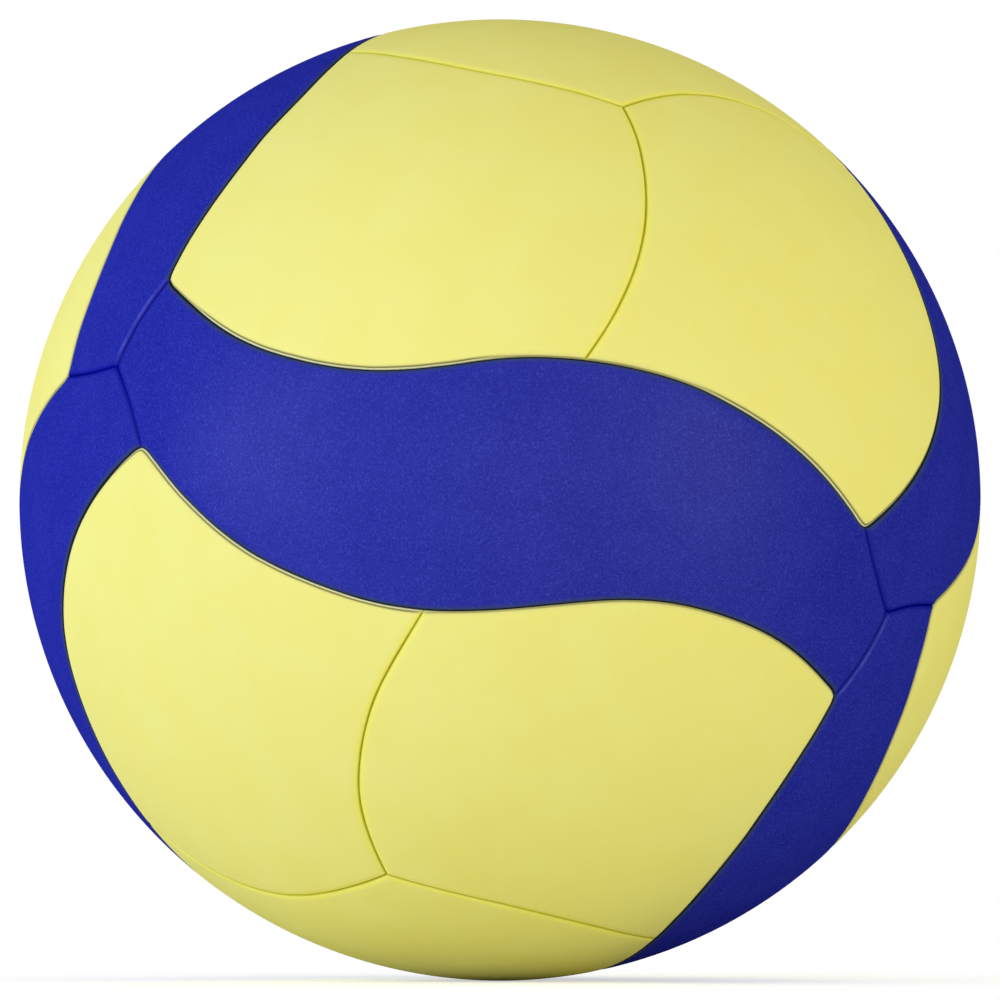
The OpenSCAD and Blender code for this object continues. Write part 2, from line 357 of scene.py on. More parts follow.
threads, threads_in, threads_out = new_group(
    "crossing threads", {"Turns": 300.0}, ["Height", "Hollow shade"])
place = put(threads, "TexCoord").outputs["Object"]
height = 0.0
for turn in THREAD_TURNS:
    tilt = {"Vector": place, "Rotation": tuple(radians(a) for a in turn)}
    tilted = put(threads, "VectorRotate", tilt, rotation_type="EULER_XYZ").outputs[0]
    parts = put(threads, "SeparateXYZ", {0: tilted}).outputs
    angle = maths(threads, "ARCTAN2", parts["Y"], parts["X"])
    wave = maths(threads, "SINE", maths(threads, "MULTIPLY", angle, threads_in["Turns"]))
    height = maths(threads, "MAXIMUM", wave, height)
threads.links.new(height, threads_out["Height"])
threads.links.new(falling(threads, height, *HOLLOW_SHADE_LEVELS), threads_out["Hollow shade"])
print("groups:", [g.name for g in bpy.data.node_groups])

# %% [markdown]
# Blue and yellow microfibre
#
# The covers are microfibre with a thin coloured coating. The blue one has a fine pebbled grain, with
# painted glints where it stands high and painted shade where it lies low, and the yellow one is
# smoother. The coating ends at the cut edge. In places along the borders between yellow and blue the
# pale fibre shows there as a thin lip, with a crease beside it whose olive is painted shade. One even
# colour would make a large panel look flat, so noise mixes two.
# Light that grazes such a coat is lost between its bumps: its soft gloss fades to the outline.
#
# Both colours are built alike, so one function makes them. It lays each colour over the last one
# where a mask from the two groups allows it, and a table lists the masks in that order.

# %% A finish for both colours of cover
COVER_GLOSS = 0.1
GLOSS_FADE = (0.08, 0.34)
PATCH_DETAIL = 3.0
PATCH_LEVELS = (0.35, 0.65)
GRAIN_LEVELS = (0.3, 0.9)


def cover_gloss(tree):
    """Specular level of the covers, which fades to nothing towards the outline."""
    facing = put(tree, "LayerWeight").outputs["Facing"]
    return ramped(tree, facing, *GLOSS_FADE, COVER_GLOSS, 0.0)


def microfibre(name, tones, layers, patch_mm, pores, wobble_mm, rough, bump, bump_mm):
    """A coated cover: two tones in soft patches, under layers of (mask, strength, colour)."""
    material, tree, _ = new_material(name)
    bands = use_group(tree, rim, Wobble=wobble_mm)
    fine = use_group(tree, grain, Fine_share=pores)
    masks = {socket.name: socket for socket in (*bands, *fine)}
    patches = ramped(tree, speckle(tree, patch_mm, PATCH_DETAIL), *PATCH_LEVELS)
    tone = mixed(tree, patches, *tones)
    for mask, strength, colour in layers:
        tone = mixed(tree, maths(tree, "MULTIPLY", masks[mask], strength), tone, colour)
    linked(tree,
           Base_Color=tone,
           Roughness=ramped(tree, fine["Height"], *GRAIN_LEVELS, *rough),
           Normal=bumped(tree, fine["Height"], bump, bump_mm),
           Specular_IOR_Level=cover_gloss(tree))
    print(name, "has", len(tree.nodes), "nodes")
    return material


# %% Make the blue finish
BLUE_TONES = (linear(38, 44, 154), linear(35, 41, 151))
BLUE_LAYERS = (
    # painted glints where the grain stands high
    ("Grain glints", 0.35, linear(66, 76, 186)),
    # painted shade where the grain lies low
    ("Pit shade", 0.45, linear(22, 27, 122)),
    # painted shade in the wide valley of a seam between two stripes
    ("Valley shade", 0.8, linear(14, 21, 142)),
    # painted shade in the groove at the bottom of that seam
    ("Groove shade", 1.0, linear(5, 9, 128)),
    # painted highlight along the proud rim of the left and right stripes
    ("Ridge highlight", 0.7, linear(80, 86, 186)),
    # painted shade in a wide band on the blue beside the yellow
    ("Verge shade", 0.75, linear(60, 73, 69)),
    ("Shade", 1.0, linear(22, 32, 44)),
)
blue_finish = microfibre(
    "blue microfibre", BLUE_TONES, BLUE_LAYERS,
    patch_mm=9.0, pores=0.35, wobble_mm=0.12, rough=(0.5, 0.38), bump=0.5, bump_mm=0.05)

# %% Make the yellow finish
YELLOW_TONES = (linear(238, 232, 132), linear(238, 230, 126))
YELLOW_LAYERS = (
    # painted highlight on the flanks beside a groove between yellow panels
    ("Flank highlight", 0.4, linear(246, 240, 62)),
    # painted shade in a duller, creamier band on the yellow beside the blue
    ("Verge shade", 0.3, linear(204, 199, 132)),
    # painted shade in the olive groove between two yellow panels
    ("Groove shade", 1.0, linear(192, 187, 16)),
    ("Shade", 0.5, linear(92, 96, 80)),
    # painted shade in the crease beside the lip
    ("Crease shade", 0.9, linear(98, 92, 28)),
    ("Lip", 1.0, linear(236, 235, 188)),
)
yellow_finish = microfibre(
    "yellow microfibre", YELLOW_TONES, YELLOW_LAYERS,
    patch_mm=14.0, pores=0.2, wobble_mm=0.15, rough=(0.55, 0.45), bump=0.25, bump_mm=0.03)

# %% Make the pale underside of both
FIBRE = linear(226, 222, 206)
FIBRE_SHADED = linear(196, 191, 174)
FIBRE_ROUGHNESS = 0.95
FIBRE_SHEEN = 0.3

fibre_finish, tree, shader = new_material("microfibre underside")
fluff = speckle(tree, size_mm=0.3, detail=4.0, roughness=0.7)
linked(tree,
       Base_Color=mixed(tree, fluff, FIBRE_SHADED, FIBRE),
       Normal=bumped(tree, fluff, strength=0.6, depth_mm=0.08))
shader["Roughness"].default_value = FIBRE_ROUGHNESS
shader["Sheen Weight"].default_value = FIBRE_SHEEN
print(fibre_finish.name, "has", len(tree.nodes), "nodes")

# %% [markdown]
# Rubber, foam and thread
#
# Nothing of the inside shows in the photograph. Plain colours would do for that, but the ball may
# be taken apart, so every piece gets the finish it would have. All the rubber parts share the grain
# group at their own depths, and the backing's cloth face and the winding share the thread group at
# different counts of threads.

# %% Make the rubber finishes
RUBBER_PORES = 0.6
RUBBER_BUMP = 0.6
TALC_NOISE = {"detail": 5.0, "roughness": 0.6}
TALC_LEVELS = (0.5, 0.75)
TALC_GRAIN_LEVELS = (0.4, 0.9)
TALC_ROUGHNESS = 0.2


def rubber(name, colour, talc_colour, roughness, bump_mm, patch_mm):
    """Moulded rubber: a fine grain in the bump, and pale talc left in soft patches."""
    material, tree, _ = new_material(name)
    fine = use_group(tree, grain, Fine_share=RUBBER_PORES)
    talc = ramped(tree, speckle(tree, patch_mm, **TALC_NOISE), *TALC_LEVELS)
    talc = maths(tree, "MULTIPLY", talc, ramped(tree, fine["Height"], *TALC_GRAIN_LEVELS))
    linked(tree,
           Base_Color=mixed(tree, talc, colour, talc_colour),
           Roughness=maths(tree, "ADD", maths(tree, "MULTIPLY", talc, TALC_ROUGHNESS), roughness),
           Normal=bumped(tree, fine["Height"], RUBBER_BUMP, bump_mm))
    return material


boot_finish = rubber(
    "boot rubber", linear(29, 29, 32), linear(52, 52, 54),
    roughness=0.6, bump_mm=0.05, patch_mm=5.0)
plug_finish = rubber(
    "plug rubber", linear(58, 58, 62), linear(82, 82, 84),
    roughness=0.55, bump_mm=0.04, patch_mm=4.0)
carcass_finish = rubber(
    "carcass rubber", linear(92, 90, 88), linear(128, 126, 122),
    roughness=0.7, bump_mm=0.1, patch_mm=12.0)
bladder_finish = rubber(
    "bladder rubber", linear(38, 38, 42), linear(88, 88, 90),
    roughness=0.38, bump_mm=0.03, patch_mm=18.0)
print("a rubber finish has", len(bladder_finish.node_tree.nodes), "nodes")

# %% Make the finishes of cloth and thread
FUZZ_NOISE = {"size_mm": 0.4, "detail": 3.0}
FUZZ_HEIGHT = 0.4
FUZZ_LEVELS = (0.3, 0.7)
ROUGHEST = 1.0
HOLLOW_SHADE_STRENGTH = 0.6
THREAD_BUMP = 0.7
THREAD_SHEEN = 0.2


def threaded(name, colour, hollow_shade_colour, turns, depth_mm, roughness):
    """Crossing threads, with painted shade in the hollows between them and a fuzz of fibre."""
    material, tree, shader = new_material(name)
    crossing = use_group(tree, threads, Turns=turns)
    fuzz = speckle(tree, **FUZZ_NOISE)
    height = maths(tree, "ADD", crossing["Height"], maths(tree, "MULTIPLY", fuzz, FUZZ_HEIGHT))
    shaded = maths(tree, "MULTIPLY", crossing["Hollow shade"], HOLLOW_SHADE_STRENGTH)
    linked(tree,
           Base_Color=mixed(tree, shaded, colour, hollow_shade_colour),
           Roughness=ramped(tree, fuzz, *FUZZ_LEVELS, roughness, ROUGHEST),
           Normal=bumped(tree, height, THREAD_BUMP, depth_mm))
    shader["Sheen Weight"].default_value = THREAD_SHEEN
    return material


# The second colour of each is the painted shade in the hollows between threads
backing_finish = threaded(
    "backing cloth", linear(217, 214, 204), linear(168, 164, 150),
    turns=520.0, depth_mm=0.1, roughness=0.85)
winding_finish = threaded(
    "wound thread", linear(230, 227, 218), linear(140, 136, 126),
    turns=260.0, depth_mm=0.2, roughness=0.6)
print("a thread finish has", len(winding_finish.node_tree.nodes), "nodes")

# %% Dress the nodes that no new piece replaces
def dress(node, finish):
    """Gives a carried-over node its finish."""
    mesh = nodes[node].data
    mesh.materials.clear()
    mesh.materials.append(finish)


for name in nodes:
    if "_backing" in name:
        dress(name, backing_finish)
dress("carcass", carcass_finish)
dress("winding", winding_finish)
dress("bladder", bladder_finish)
print("materials:", [m.name for m in bpy.data.materials])

# %% [markdown]
# The seam curves
#
# The covers repeat like the faces of a tetrahedron that has been twisted: six stripes that are
# alike and twelve yellow panels that are alike. So one stripe and one yellow panel are enough, and
# turns place the rest. Three stripes meet at blue_meet, and three yellow panels meet at
# yellow_meet: a third of a full turn about either leaves the whole pattern as it is. A seam is a
# great-circle arc with a gentle sideways sway. Every cover could have an outline of its own, but
# neighbours that share a curve meet by themselves. The yellow tips are cut a little round, so the
# last stretch of each seam that ends in one bends round it.

# %% Seam shapes, with angles and sways in degrees
THIRD_TURN = 120
PATTERN_ANGLE = -27.4
TIP_ANGLE = 11.3
TIP_TURN = 15.6
TIP_SHARE = 0.016
TIP_BEND = 0.7
EDGE_SWAYS = (-0.7, -6.2, -0.7)
JUNCTION_SHARE = 0.57
YELLOW_SEAM_SWAYS = (4.2,)
BLUE_SEAM_SWAYS = (0.5,)
print("the front stripe falls by", -PATTERN_ANGLE, "degrees from left to right")


# %% Where the tips lie
def turned(v, axis, degrees):
    """v after a turn about an axis through the ball's centre."""
    return Matrix.Rotation(radians(degrees), 3, axis) @ v


def swapped(v):
    """v after half a turn about the Y axis, which swaps the front stripe's two ends."""
    return Vector((-v.x, v.y, -v.z))


def swayed(start, end, t, sways):
    """The direction at share t of the arc from start to end, moved sideways by a sum of sine waves."""
    sway = radians(sum(a * sin(pi * (k + 1) * t) for k, a in enumerate(sways)))
    return start.slerp(end, t) * cos(sway) + start.cross(end).normalized() * sin(sway)


blue_meet = Vector((-1, -1, 1)).normalized()
yellow_meet = Vector((1, -1, 1)).normalized()
upper_tip = blue_meet.slerp(yellow_meet, radians(TIP_ANGLE) / blue_meet.angle(yellow_meet))
upper_tip = turned(upper_tip, blue_meet, TIP_TURN)
far_upper_tip = swapped(turned(upper_tip, blue_meet, -THIRD_TURN))
print("the upper tips are", round((far_upper_tip - upper_tip).length * BALL_R / MM, 1), "mm apart")


# %% The three kinds of seam
def plain_edge(t):
    """The front stripe's upper edge, from the yellow tip at its left end to the one at its right."""
    return swayed(upper_tip, far_upper_tip, t, EDGE_SWAYS)


def round_tip(before, tip, after, t):
    """A point of the arc that bends round a tip, from before at t = 0 to after at t = 1."""
    return before.lerp(tip, t).lerp(tip.lerp(after, t), t)


def upper_edge(t):
    """The plain edge, with its first and last stretch bent so that the yellow tips end round."""
    plain = plain_edge(t)
    if t < TIP_SHARE:
        before = turned(plain_edge(1 - TIP_SHARE), yellow_meet, -THIRD_TURN)
        bent = round_tip(before, upper_tip, plain_edge(TIP_SHARE), (1 + t / TIP_SHARE) / 2)
    elif t > 1 - TIP_SHARE:
        after = turned(plain_edge(TIP_SHARE), yellow_meet, THIRD_TURN)
        bent = round_tip(plain_edge(1 - TIP_SHARE), far_upper_tip, after, (1 - (1 - t) / TIP_SHARE) / 2)
    else:
        return plain
    return plain.lerp(bent, TIP_BEND).normalized()


def blue_seam(t):
    """The seam between two stripes, from blue_meet to a yellow tip."""
    return swayed(blue_meet, upper_edge(0), t, BLUE_SEAM_SWAYS)


def yellow_seam(t):
    """The seam between two yellow panels, from yellow_meet to the stripe's edge."""
    return swayed(yellow_meet, upper_edge(JUNCTION_SHARE), t, YELLOW_SEAM_SWAYS)


# %% [markdown]
# A four-sided patch is the easiest thing to fill with a grid. Each cover gets four sides, named as
# on a page: low, right, top and left. Low and top run left to right, and left and right run
# upwards. The stripe's short sides bend in the middle, at the point where three stripes meet.

# %% Sides of a stripe
def stripe_end(t):
    """The stripe's left end, from its lower yellow tip by blue_meet to its upper one."""
    if t < 0.5:
        return turned(blue_seam(1 - 2 * t), blue_meet, -THIRD_TURN)
    return blue_seam(2 * t - 1)


STRIPE_SIDES = (
    lambda t: swapped(upper_edge(1 - t)),
    lambda t: swapped(stripe_end(1 - t)),
    upper_edge,
    stripe_end,
)
# Whether the other colour lies beyond each of those sides
STRIPE_BY_OTHER = (True, False, True, False)


# %% Sides of a yellow panel
YELLOW_SIDES = (
    yellow_seam,
    lambda t: upper_edge(JUNCTION_SHARE + (1 - JUNCTION_SHARE) * t),
    lambda t: turned(upper_edge(JUNCTION_SHARE * (1 - t)), yellow_meet, THIRD_TURN),
    lambda t: turned(yellow_seam(t), yellow_meet, THIRD_TURN),
)
YELLOW_BY_OTHER = (False, True, True, False)


# %% Measure the sides
def side_length(side, steps=60):
    """Length of a side on the ball, measured over short steps."""
    points = [side(k / steps) * BALL_R for k in range(steps + 1)]
    return sum((b - a).length for a, b in zip(points, points[1:]))


print("stripe sides, mm:", [round(side_length(s) / MM, 1) for s in STRIPE_SIDES])
print("yellow sides, mm:", [round(side_length(s) / MM, 1) for s in YELLOW_SIDES])

# %% [markdown]
# A grid wrapped on the ball
#
# bmesh.ops.create_grid makes a flat square of quads, and each vertex is then carried to its place
# between the four sides and pushed out to the sphere. A whole ball could be cut along the seams
# instead, but then its faces wouldn't follow them. Grid lines lie close together near the sides,
# where the edge rolls over, and further apart in the middle, where the surface is plain.

# %% Grid lines and the wrap
RIM_LINES = [d * MM for d in (0.3, 0.42, 0.55, 0.7, 0.88, 1.1, 1.4, 1.8, 2.4, 3.2)]
CELL = 1.7 * MM
GRID_HALF = 0.5


def grid_lines(length):
    """Shares of a side at which grid lines cross it. Their count is even, so one is at the middle."""
    near = [d / length for d in RIM_LINES]
    count = 2 * round((length - 2 * RIM_LINES[-1]) / CELL / 2)
    middle = [near[-1] + (1 - 2 * near[-1]) * i / count for i in range(1, count)]
    return [0, *near, *middle, *[1 - s for s in reversed(near)], 1]


def wrapped(sides, u, w):
    """The direction at shares u and w between four sides."""
    low, right, top, left = sides
    across = low(u).lerp(top(u), w)
    along = left(w).lerp(right(w), u)
    corners = low(0).lerp(low(1), u).lerp(top(0).lerp(top(1), u), w)
    return (across + along - corners).normalized()


def wrapped_grid(sides):
    """A bmesh grid that fills the patch between four sides, on the ball's surface."""
    us = grid_lines((side_length(sides[0]) + side_length(sides[2])) / 2)
    ws = grid_lines(max(side_length(sides[1]), side_length(sides[3])))
    bm = bmesh.new()
    bmesh.ops.create_grid(bm, x_segments=len(us) - 1, y_segments=len(ws) - 1, size=GRID_HALF)
    for v in bm.verts:
        u = us[round((v.co.x + GRID_HALF) * (len(us) - 1))]
        w = ws[round((v.co.y + GRID_HALF) * (len(ws) - 1))]
        v.co = wrapped(sides, u, w) * BALL_R
    return bm


# %% [markdown]
# Gap, roll and thickness
#
# Neighbouring covers don't quite touch at the surface: a gap of 0.12 mm runs between them. Inset is
# the operator for that. It draws a ring of even width inside the patch's border, and deleting the
# ring moves the border in. Every vertex then stores its distance to the outline, which later gives the
# depth of the rolled edge and the bands of its finish. A bevel could round the edge too, but
# wouldn't tell the finish where its bands go. Last, the sheet is extruded inwards to the cover's
# inner radius, which closes it.

# %% Distance of each vertex to the outline
GAP = 0.12 * MM
OUTLINE_STEPS = 320


def distances_to(sides, points):
    """Distance of each point to each of the sides, as rows of one value per side."""
    rows = []
    for side in sides:
        line = np.array([side(k / OUTLINE_STEPS) * BALL_R for k in range(OUTLINE_STEPS + 1)])
        start, step = line[:-1], line[1:] - line[:-1]
        away = points[:, None, :] - start
        share = np.clip((away * step).sum(2) / (step * step).sum(1), 0, 1)
        rows.append(np.linalg.norm(away - share[..., None] * step, axis=2).min(1))
    return np.array(rows).T


# %% From a grid to a closed cover
SHARP_ANGLE = radians(50)
OTHER_BLEND = 1.0 * MM
HOLE_R = 3.8 * MM


def opened_gap(bm):
    """Moves the patch's border in by half the gap, and squares up the cell in each corner."""
    ring = bmesh.ops.inset_region(
        bm, faces=bm.faces[:], use_boundary=True, use_even_offset=True, thickness=GAP / 2, depth=0)
    bmesh.ops.delete(bm, geom=ring["faces"], context="FACES")
    for corner in [v for v in bm.verts if len(v.link_faces) == 1]:
        loop = corner.link_loops[0]
        before, after = loop.link_loop_prev, loop.link_loop_next
        corner.co = before.vert.co + after.vert.co - after.link_loop_next.vert.co


def measured(bm, sides, other, hole):
    """Puts each vertex on the sphere and stores its distance to the rim and what lies beyond it."""
    edge_layer = bm.verts.layers.float.new("edge_mm")
    other_layer = bm.verts.layers.float.new("by_other")
    points = np.array([v.co.normalized() * BALL_R for v in bm.verts])
    rows = distances_to(sides, points)
    other = np.array(other)
    for v, point, row in zip(bm.verts, points, rows):
        v.co = point
        distance = max(0, row.min() - GAP / 2)
        lead = row[~other].min() - row[other].min()
        facing = min(max(0.5 + lead / OTHER_BLEND, 0), 1)
        hole_distance = max(0, from_axis(v.co) - HOLE_R)
        if hole and hole_distance < distance:
            distance, facing = hole_distance, 0
        v[edge_layer] = distance / MM
        v[other_layer] = facing


def thickened(bm):
    """Extrudes the sheet to the inner radius and closes it, with the underside as material 1."""
    made = bmesh.ops.extrude_face_region(bm, geom=bm.faces[:])["geom"]
    for v in made:
        if isinstance(v, bmesh.types.BMVert):
            v.co = v.co.normalized() * COVER_INNER_R
    bmesh.ops.recalc_face_normals(bm, faces=bm.faces[:])
    inner = {f for f in made if isinstance(f, bmesh.types.BMFace)}
    for f in bm.faces:
        f.smooth = True
        f.material_index = 1 if f in inner else 0
    for e in bm.edges:
        e.smooth = e.calc_face_angle(0) < SHARP_ANGLE


# %% [markdown]
# The hole for the valve
#
# The back stripe has a punched hole at its middle. Its grid is opened there, rings of vertices are
# made with create_circle, and bridge_loops joins them to each other and to the grid. A boolean
# could cut the hole as well, but would leave no rings of faces around it for the rim to roll over.

# %% Cut the valve's hole in the stripe
HOLE_RINGS = [HOLE_R + d * MM for d in (0, 0.15, 0.4, 0.8, 1.4)]
HOLE_SEGMENTS = 48
HOLE_OPENING = HOLE_R + 3.4 * MM


def opening_edges(bm):
    """The edges around the opening, but not those of the patch's own border."""
    return [e for e in bm.edges if e.is_boundary and from_axis(e.verts[0].co) < 2 * HOLE_OPENING]


def punched(bm):
    """Opens a round hole on -Y, where the stripe has its middle."""
    middles = [(f, f.calc_center_median()) for f in bm.faces]
    near = [f for f, middle in middles if middle.y < 0 and from_axis(middle) < HOLE_OPENING]
    bmesh.ops.delete(bm, geom=near, context="FACES")
    outside = opening_edges(bm)
    turn = Matrix.Rotation(radians(90), 4, "X")
    for r in reversed(HOLE_RINGS):
        flat = Matrix.Translation((0, -sqrt(BALL_R ** 2 - r ** 2), 0)) @ turn
        made = bmesh.ops.create_circle(bm, cap_ends=False, radius=r, segments=HOLE_SEGMENTS, matrix=flat)
        ring = list({e for v in made["verts"] for e in v.link_edges})
        bmesh.ops.bridge_loops(bm, edges=outside + ring)
        outside = ring
    bmesh.ops.recalc_face_normals(bm, faces=bm.faces[:])


# %% [markdown]
# Rolled by hand
#
# Panels are glued by hand, so no two seams of a ball run alike. Six layers of smooth noise push
# every point sideways on its sphere, by 0.8 mm on average and 2.5 mm at most. All covers share
# them, and so neighbours still meet. The seeds are ones at which the front's seams sway like the
# photograph's. noise.noise gives the same value in every run, which noise_vector doesn't.
#
# Then the rim of each cover rolls down along a quarter of an ellipse, deeper where two colours meet.
# There the cut edge lies bare in places: it shows as a lip, with a crease pressed beside it. On the
# real ball the left and the right stripe stand a little proud where they meet the front or the back
# one. That is too fine for the mesh, so it only marks those rims, and their finish gets a painted
# highlight there, for the light that such a rim would catch.

# %% Sideways wander of the seams, as size of the noise, push and seed
WANDERS = (
    (60 * MM, Vector((0, 2.7, 0)) * MM, Vector((67.5, 95.5, 94.5))),
    (45 * MM, Vector((0, 0, -1.4)) * MM, Vector((76.5, 24.5, 88.5))),
    (45 * MM, Vector((1.4, 0, 0)) * MM, Vector((16.5, 99.5, 98.5))),
    (30 * MM, Vector((0, 1.6, 0)) * MM, Vector((92.5, 91.5, 18.5))),
    (30 * MM, Vector((0, 0, -0.6)) * MM, Vector((12.5, 96.5, 45.5))),
    (25 * MM, Vector((0.9, 0, 0)) * MM, Vector((74.5, 80.5, 4.5))),
)
VALVE_STILL, VALVE_FREE = 14 * MM, 40 * MM


def smooth_step(value, start, end):
    """Goes smoothly from 0 to 1 as value goes from start to end."""
    share = min(max((value - start) / (end - start), 0), 1)
    return share * share * (3 - 2 * share)


def wandered(v):
    """v moved sideways on its own sphere, but not close to the valve."""
    outward = v.normalized()
    place = outward * BALL_R
    shift = Vector()
    for size, push, seed in WANDERS:
        shift += push * noise.noise(place / size + seed)
    shift -= outward * shift.dot(outward)
    if place.y > 0:
        shift *= smooth_step(from_axis(place), VALVE_STILL, VALVE_FREE)
    return (place + shift).normalized() * v.length


tip_place = upper_tip * BALL_R
print("the upper tip moves by", round((wandered(tip_place) - tip_place).length / MM, 2), "mm")


# %% Shape of the rolled edge
ROLL_WIDTH = 1.8 * MM
ROLL_WIDTH_WAVE, WIDTH_WAVE_SIZE = 0.7, 30 * MM
ROLL_DROP_SAME = 0.55 * MM
ROLL_DROP_OTHER = 0.7 * MM
DROP_WAVE, DROP_WAVE_SIZE = 0.3, 9 * MM
CREASE_PLACE, CREASE_WIDTH, CREASE_DEPTH = 0.45 * MM, 0.3 * MM, 0.1 * MM
LIP_PATCH = 60 * MM
LIP_SEED = Vector((170.125, 212.25, 29.375))
LIP_LEVELS = (-0.12, 0.12)


def bare_share(place):
    """How far the cut edge lies bare at a place, from 0 to 1."""
    return smooth_step(noise.noise(place / LIP_PATCH + LIP_SEED), *LIP_LEVELS)


def roll_drop(distance, other, bare, place):
    """Depth of the surface below the sphere at a distance from the rim."""
    width = ROLL_WIDTH * (1 + ROLL_WIDTH_WAVE * noise.noise(place / WIDTH_WAVE_SIZE))
    share = min(distance / width, 1)
    deepest = ROLL_DROP_SAME + (ROLL_DROP_OTHER - ROLL_DROP_SAME) * other
    wave = 1 + DROP_WAVE * noise.noise(place / DROP_WAVE_SIZE)
    crease = max(0, 1 - abs(distance - CREASE_PLACE) / CREASE_WIDTH) * CREASE_DEPTH
    return deepest * wave * (1 - sqrt(1 - (1 - share) ** 2)) + other * bare * crease


print("the rim at the tip drops by", round(roll_drop(0, 1, 0, tip_place) / MM, 2), "mm")


# %% Turn, wander and roll a cover
def by_front_or_back(place):
    """1 where the left or right stripe is nearer to the front or back stripe, and else 0."""
    pattern_place = turned(place, Vector((0, 1, 0)), -PATTERN_ANGLE)
    return float(abs(pattern_place.y) > abs(pattern_place.x))


def shaped(base, place, ridge_highlight):
    """A copy of a base cover, turned into place, wandered sideways and rolled along its rim."""
    mesh = base.copy()
    mesh.transform(place)
    mesh.attributes.new("lip_share", "FLOAT", "POINT")
    mesh.attributes.new("proud_rim", "FLOAT", "POINT")
    stored = [mesh.attributes[n].data for n in ("edge_mm", "by_other", "lip_share", "proud_rim")]
    half_way = (COVER_INNER_R + BALL_R) / 2
    for v, edge, other, lip, ridge in zip(mesh.vertices, *stored):
        ridge.value = by_front_or_back(v.co) if ridge_highlight else 0
        v.co = wandered(v.co)
        lip.value = bare_share(v.co.normalized() * BALL_R)
        if v.co.length > half_way:
            drop = roll_drop(edge.value * MM, other.value, lip.value, v.co)
            v.co *= 1 - drop / BALL_R
    return mesh


# %% [markdown]
# Place the covers
#
# Each finished patch becomes a mesh once, and copies of it are turned into place. The turn goes
# into the mesh itself, so every object stays at the origin, unturned. Eighteen objects could share
# three meshes, but each cover wanders in its own way. A piece has the name of the node that it
# stands for, with _skin or _turned behind it.

# %% Turn the base covers into eighteen pieces
roll_turn = Matrix.Rotation(radians(PATTERN_ANGLE), 4, "Y")
half_turn = {axis: Matrix.Rotation(pi, 4, axis) for axis in "XYZ"}
face_turns = [Matrix.Identity(4), half_turn["Y"], half_turn["X"], half_turn["Z"]]
body_diagonal = Vector((1, 1, 1))


def stripe_place(k):
    """Turns the front stripe into the k-th one: three pairs, and half a turn within each."""
    third = Matrix.Rotation(radians(THIRD_TURN * (k // 2)), 4, body_diagonal)
    return roll_turn @ third @ (half_turn["X"] if k % 2 else Matrix.Identity(4))


def yellow_place(group, k):
    """Turns the base panel into the k-th of the three that meet in one of four groups."""
    third = Matrix.Rotation(radians(THIRD_TURN * k), 4, yellow_meet)
    return roll_turn @ face_turns[group] @ third


def base_mesh(name, sides, other, hole=False):
    """The closed mesh that all covers of one kind are copies of."""
    bm = wrapped_grid(sides)
    opened_gap(bm)
    if hole:
        punched(bm)
    measured(bm, sides, other, hole)
    thickened(bm)
    mesh = bpy.data.meshes.new(name)
    bm.to_mesh(mesh)
    print(name, "has", len(bm.faces), "faces and", round(bm.calc_volume() / MM ** 3), "mm3")
    bm.free()
    return mesh


def add_piece(name, mesh, materials, replaced):
    """Links a finished mesh as a piece that rides on the ball and stands for a node."""
    piece = bpy.data.objects.new(name, mesh)
    scene.collection.objects.link(piece)
    for material in materials:
        mesh.materials.append(material)
    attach(piece, "root")
    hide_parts(replaced)


def add_cover(node, base, place, finish, ridge_highlight=False):
    """Adds a cover under its node's name, with its finish outside and bare fibre inside."""
    mesh = shaped(base, place, ridge_highlight)
    mesh.name = node + "_skin"
    add_piece(node + "_skin", mesh, [finish, fibre_finish], node)


# %% Make the covers
stripe = base_mesh("stripe", STRIPE_SIDES, STRIPE_BY_OTHER)
valve_stripe = base_mesh("stripe with the valve's hole", STRIPE_SIDES, STRIPE_BY_OTHER, hole=True)
panel = base_mesh("yellow panel", YELLOW_SIDES, YELLOW_BY_OTHER)

for k, where in enumerate(("front", "back", "right", "left", "top", "bottom")):
    base = valve_stripe if where == "back" else stripe
    # The left and right stripes get the painted highlight along their proud rims
    ridge_highlight = where in ("left", "right")
    add_cover(f"{where}_blue_cover", base, stripe_place(k), blue_finish, ridge_highlight)
for group, where in enumerate(("top", "bottom", "right", "left")):
    for k in range(3):
        node = f"{where}_yellow_cover_{k + 1}"
        add_cover(node, panel, yellow_place(group, k), yellow_finish)
for base in (stripe, valve_stripe, panel):
    bpy.data.meshes.remove(base)

# %% [markdown]
# The valve
#
# The boot and the plug are turned shapes. The profile of each is a chain of points, given as a
# radius and a height along +Y, and spin turns it a full circle. The sharp rings are then rounded
# with a bevel, because moulded rubber has no sharp rims. Stacked cylinders could make the same
# steps, but one profile has no faces left inside. The boot's flange follows the bladder's inside,
# so its two faces are arcs about the ball's centre.

# %% Turn a profile into a solid
SPIN_STEPS = 96
BEVEL_SEGMENTS = 4
MERGE_DISTANCE = 0.001 * MM


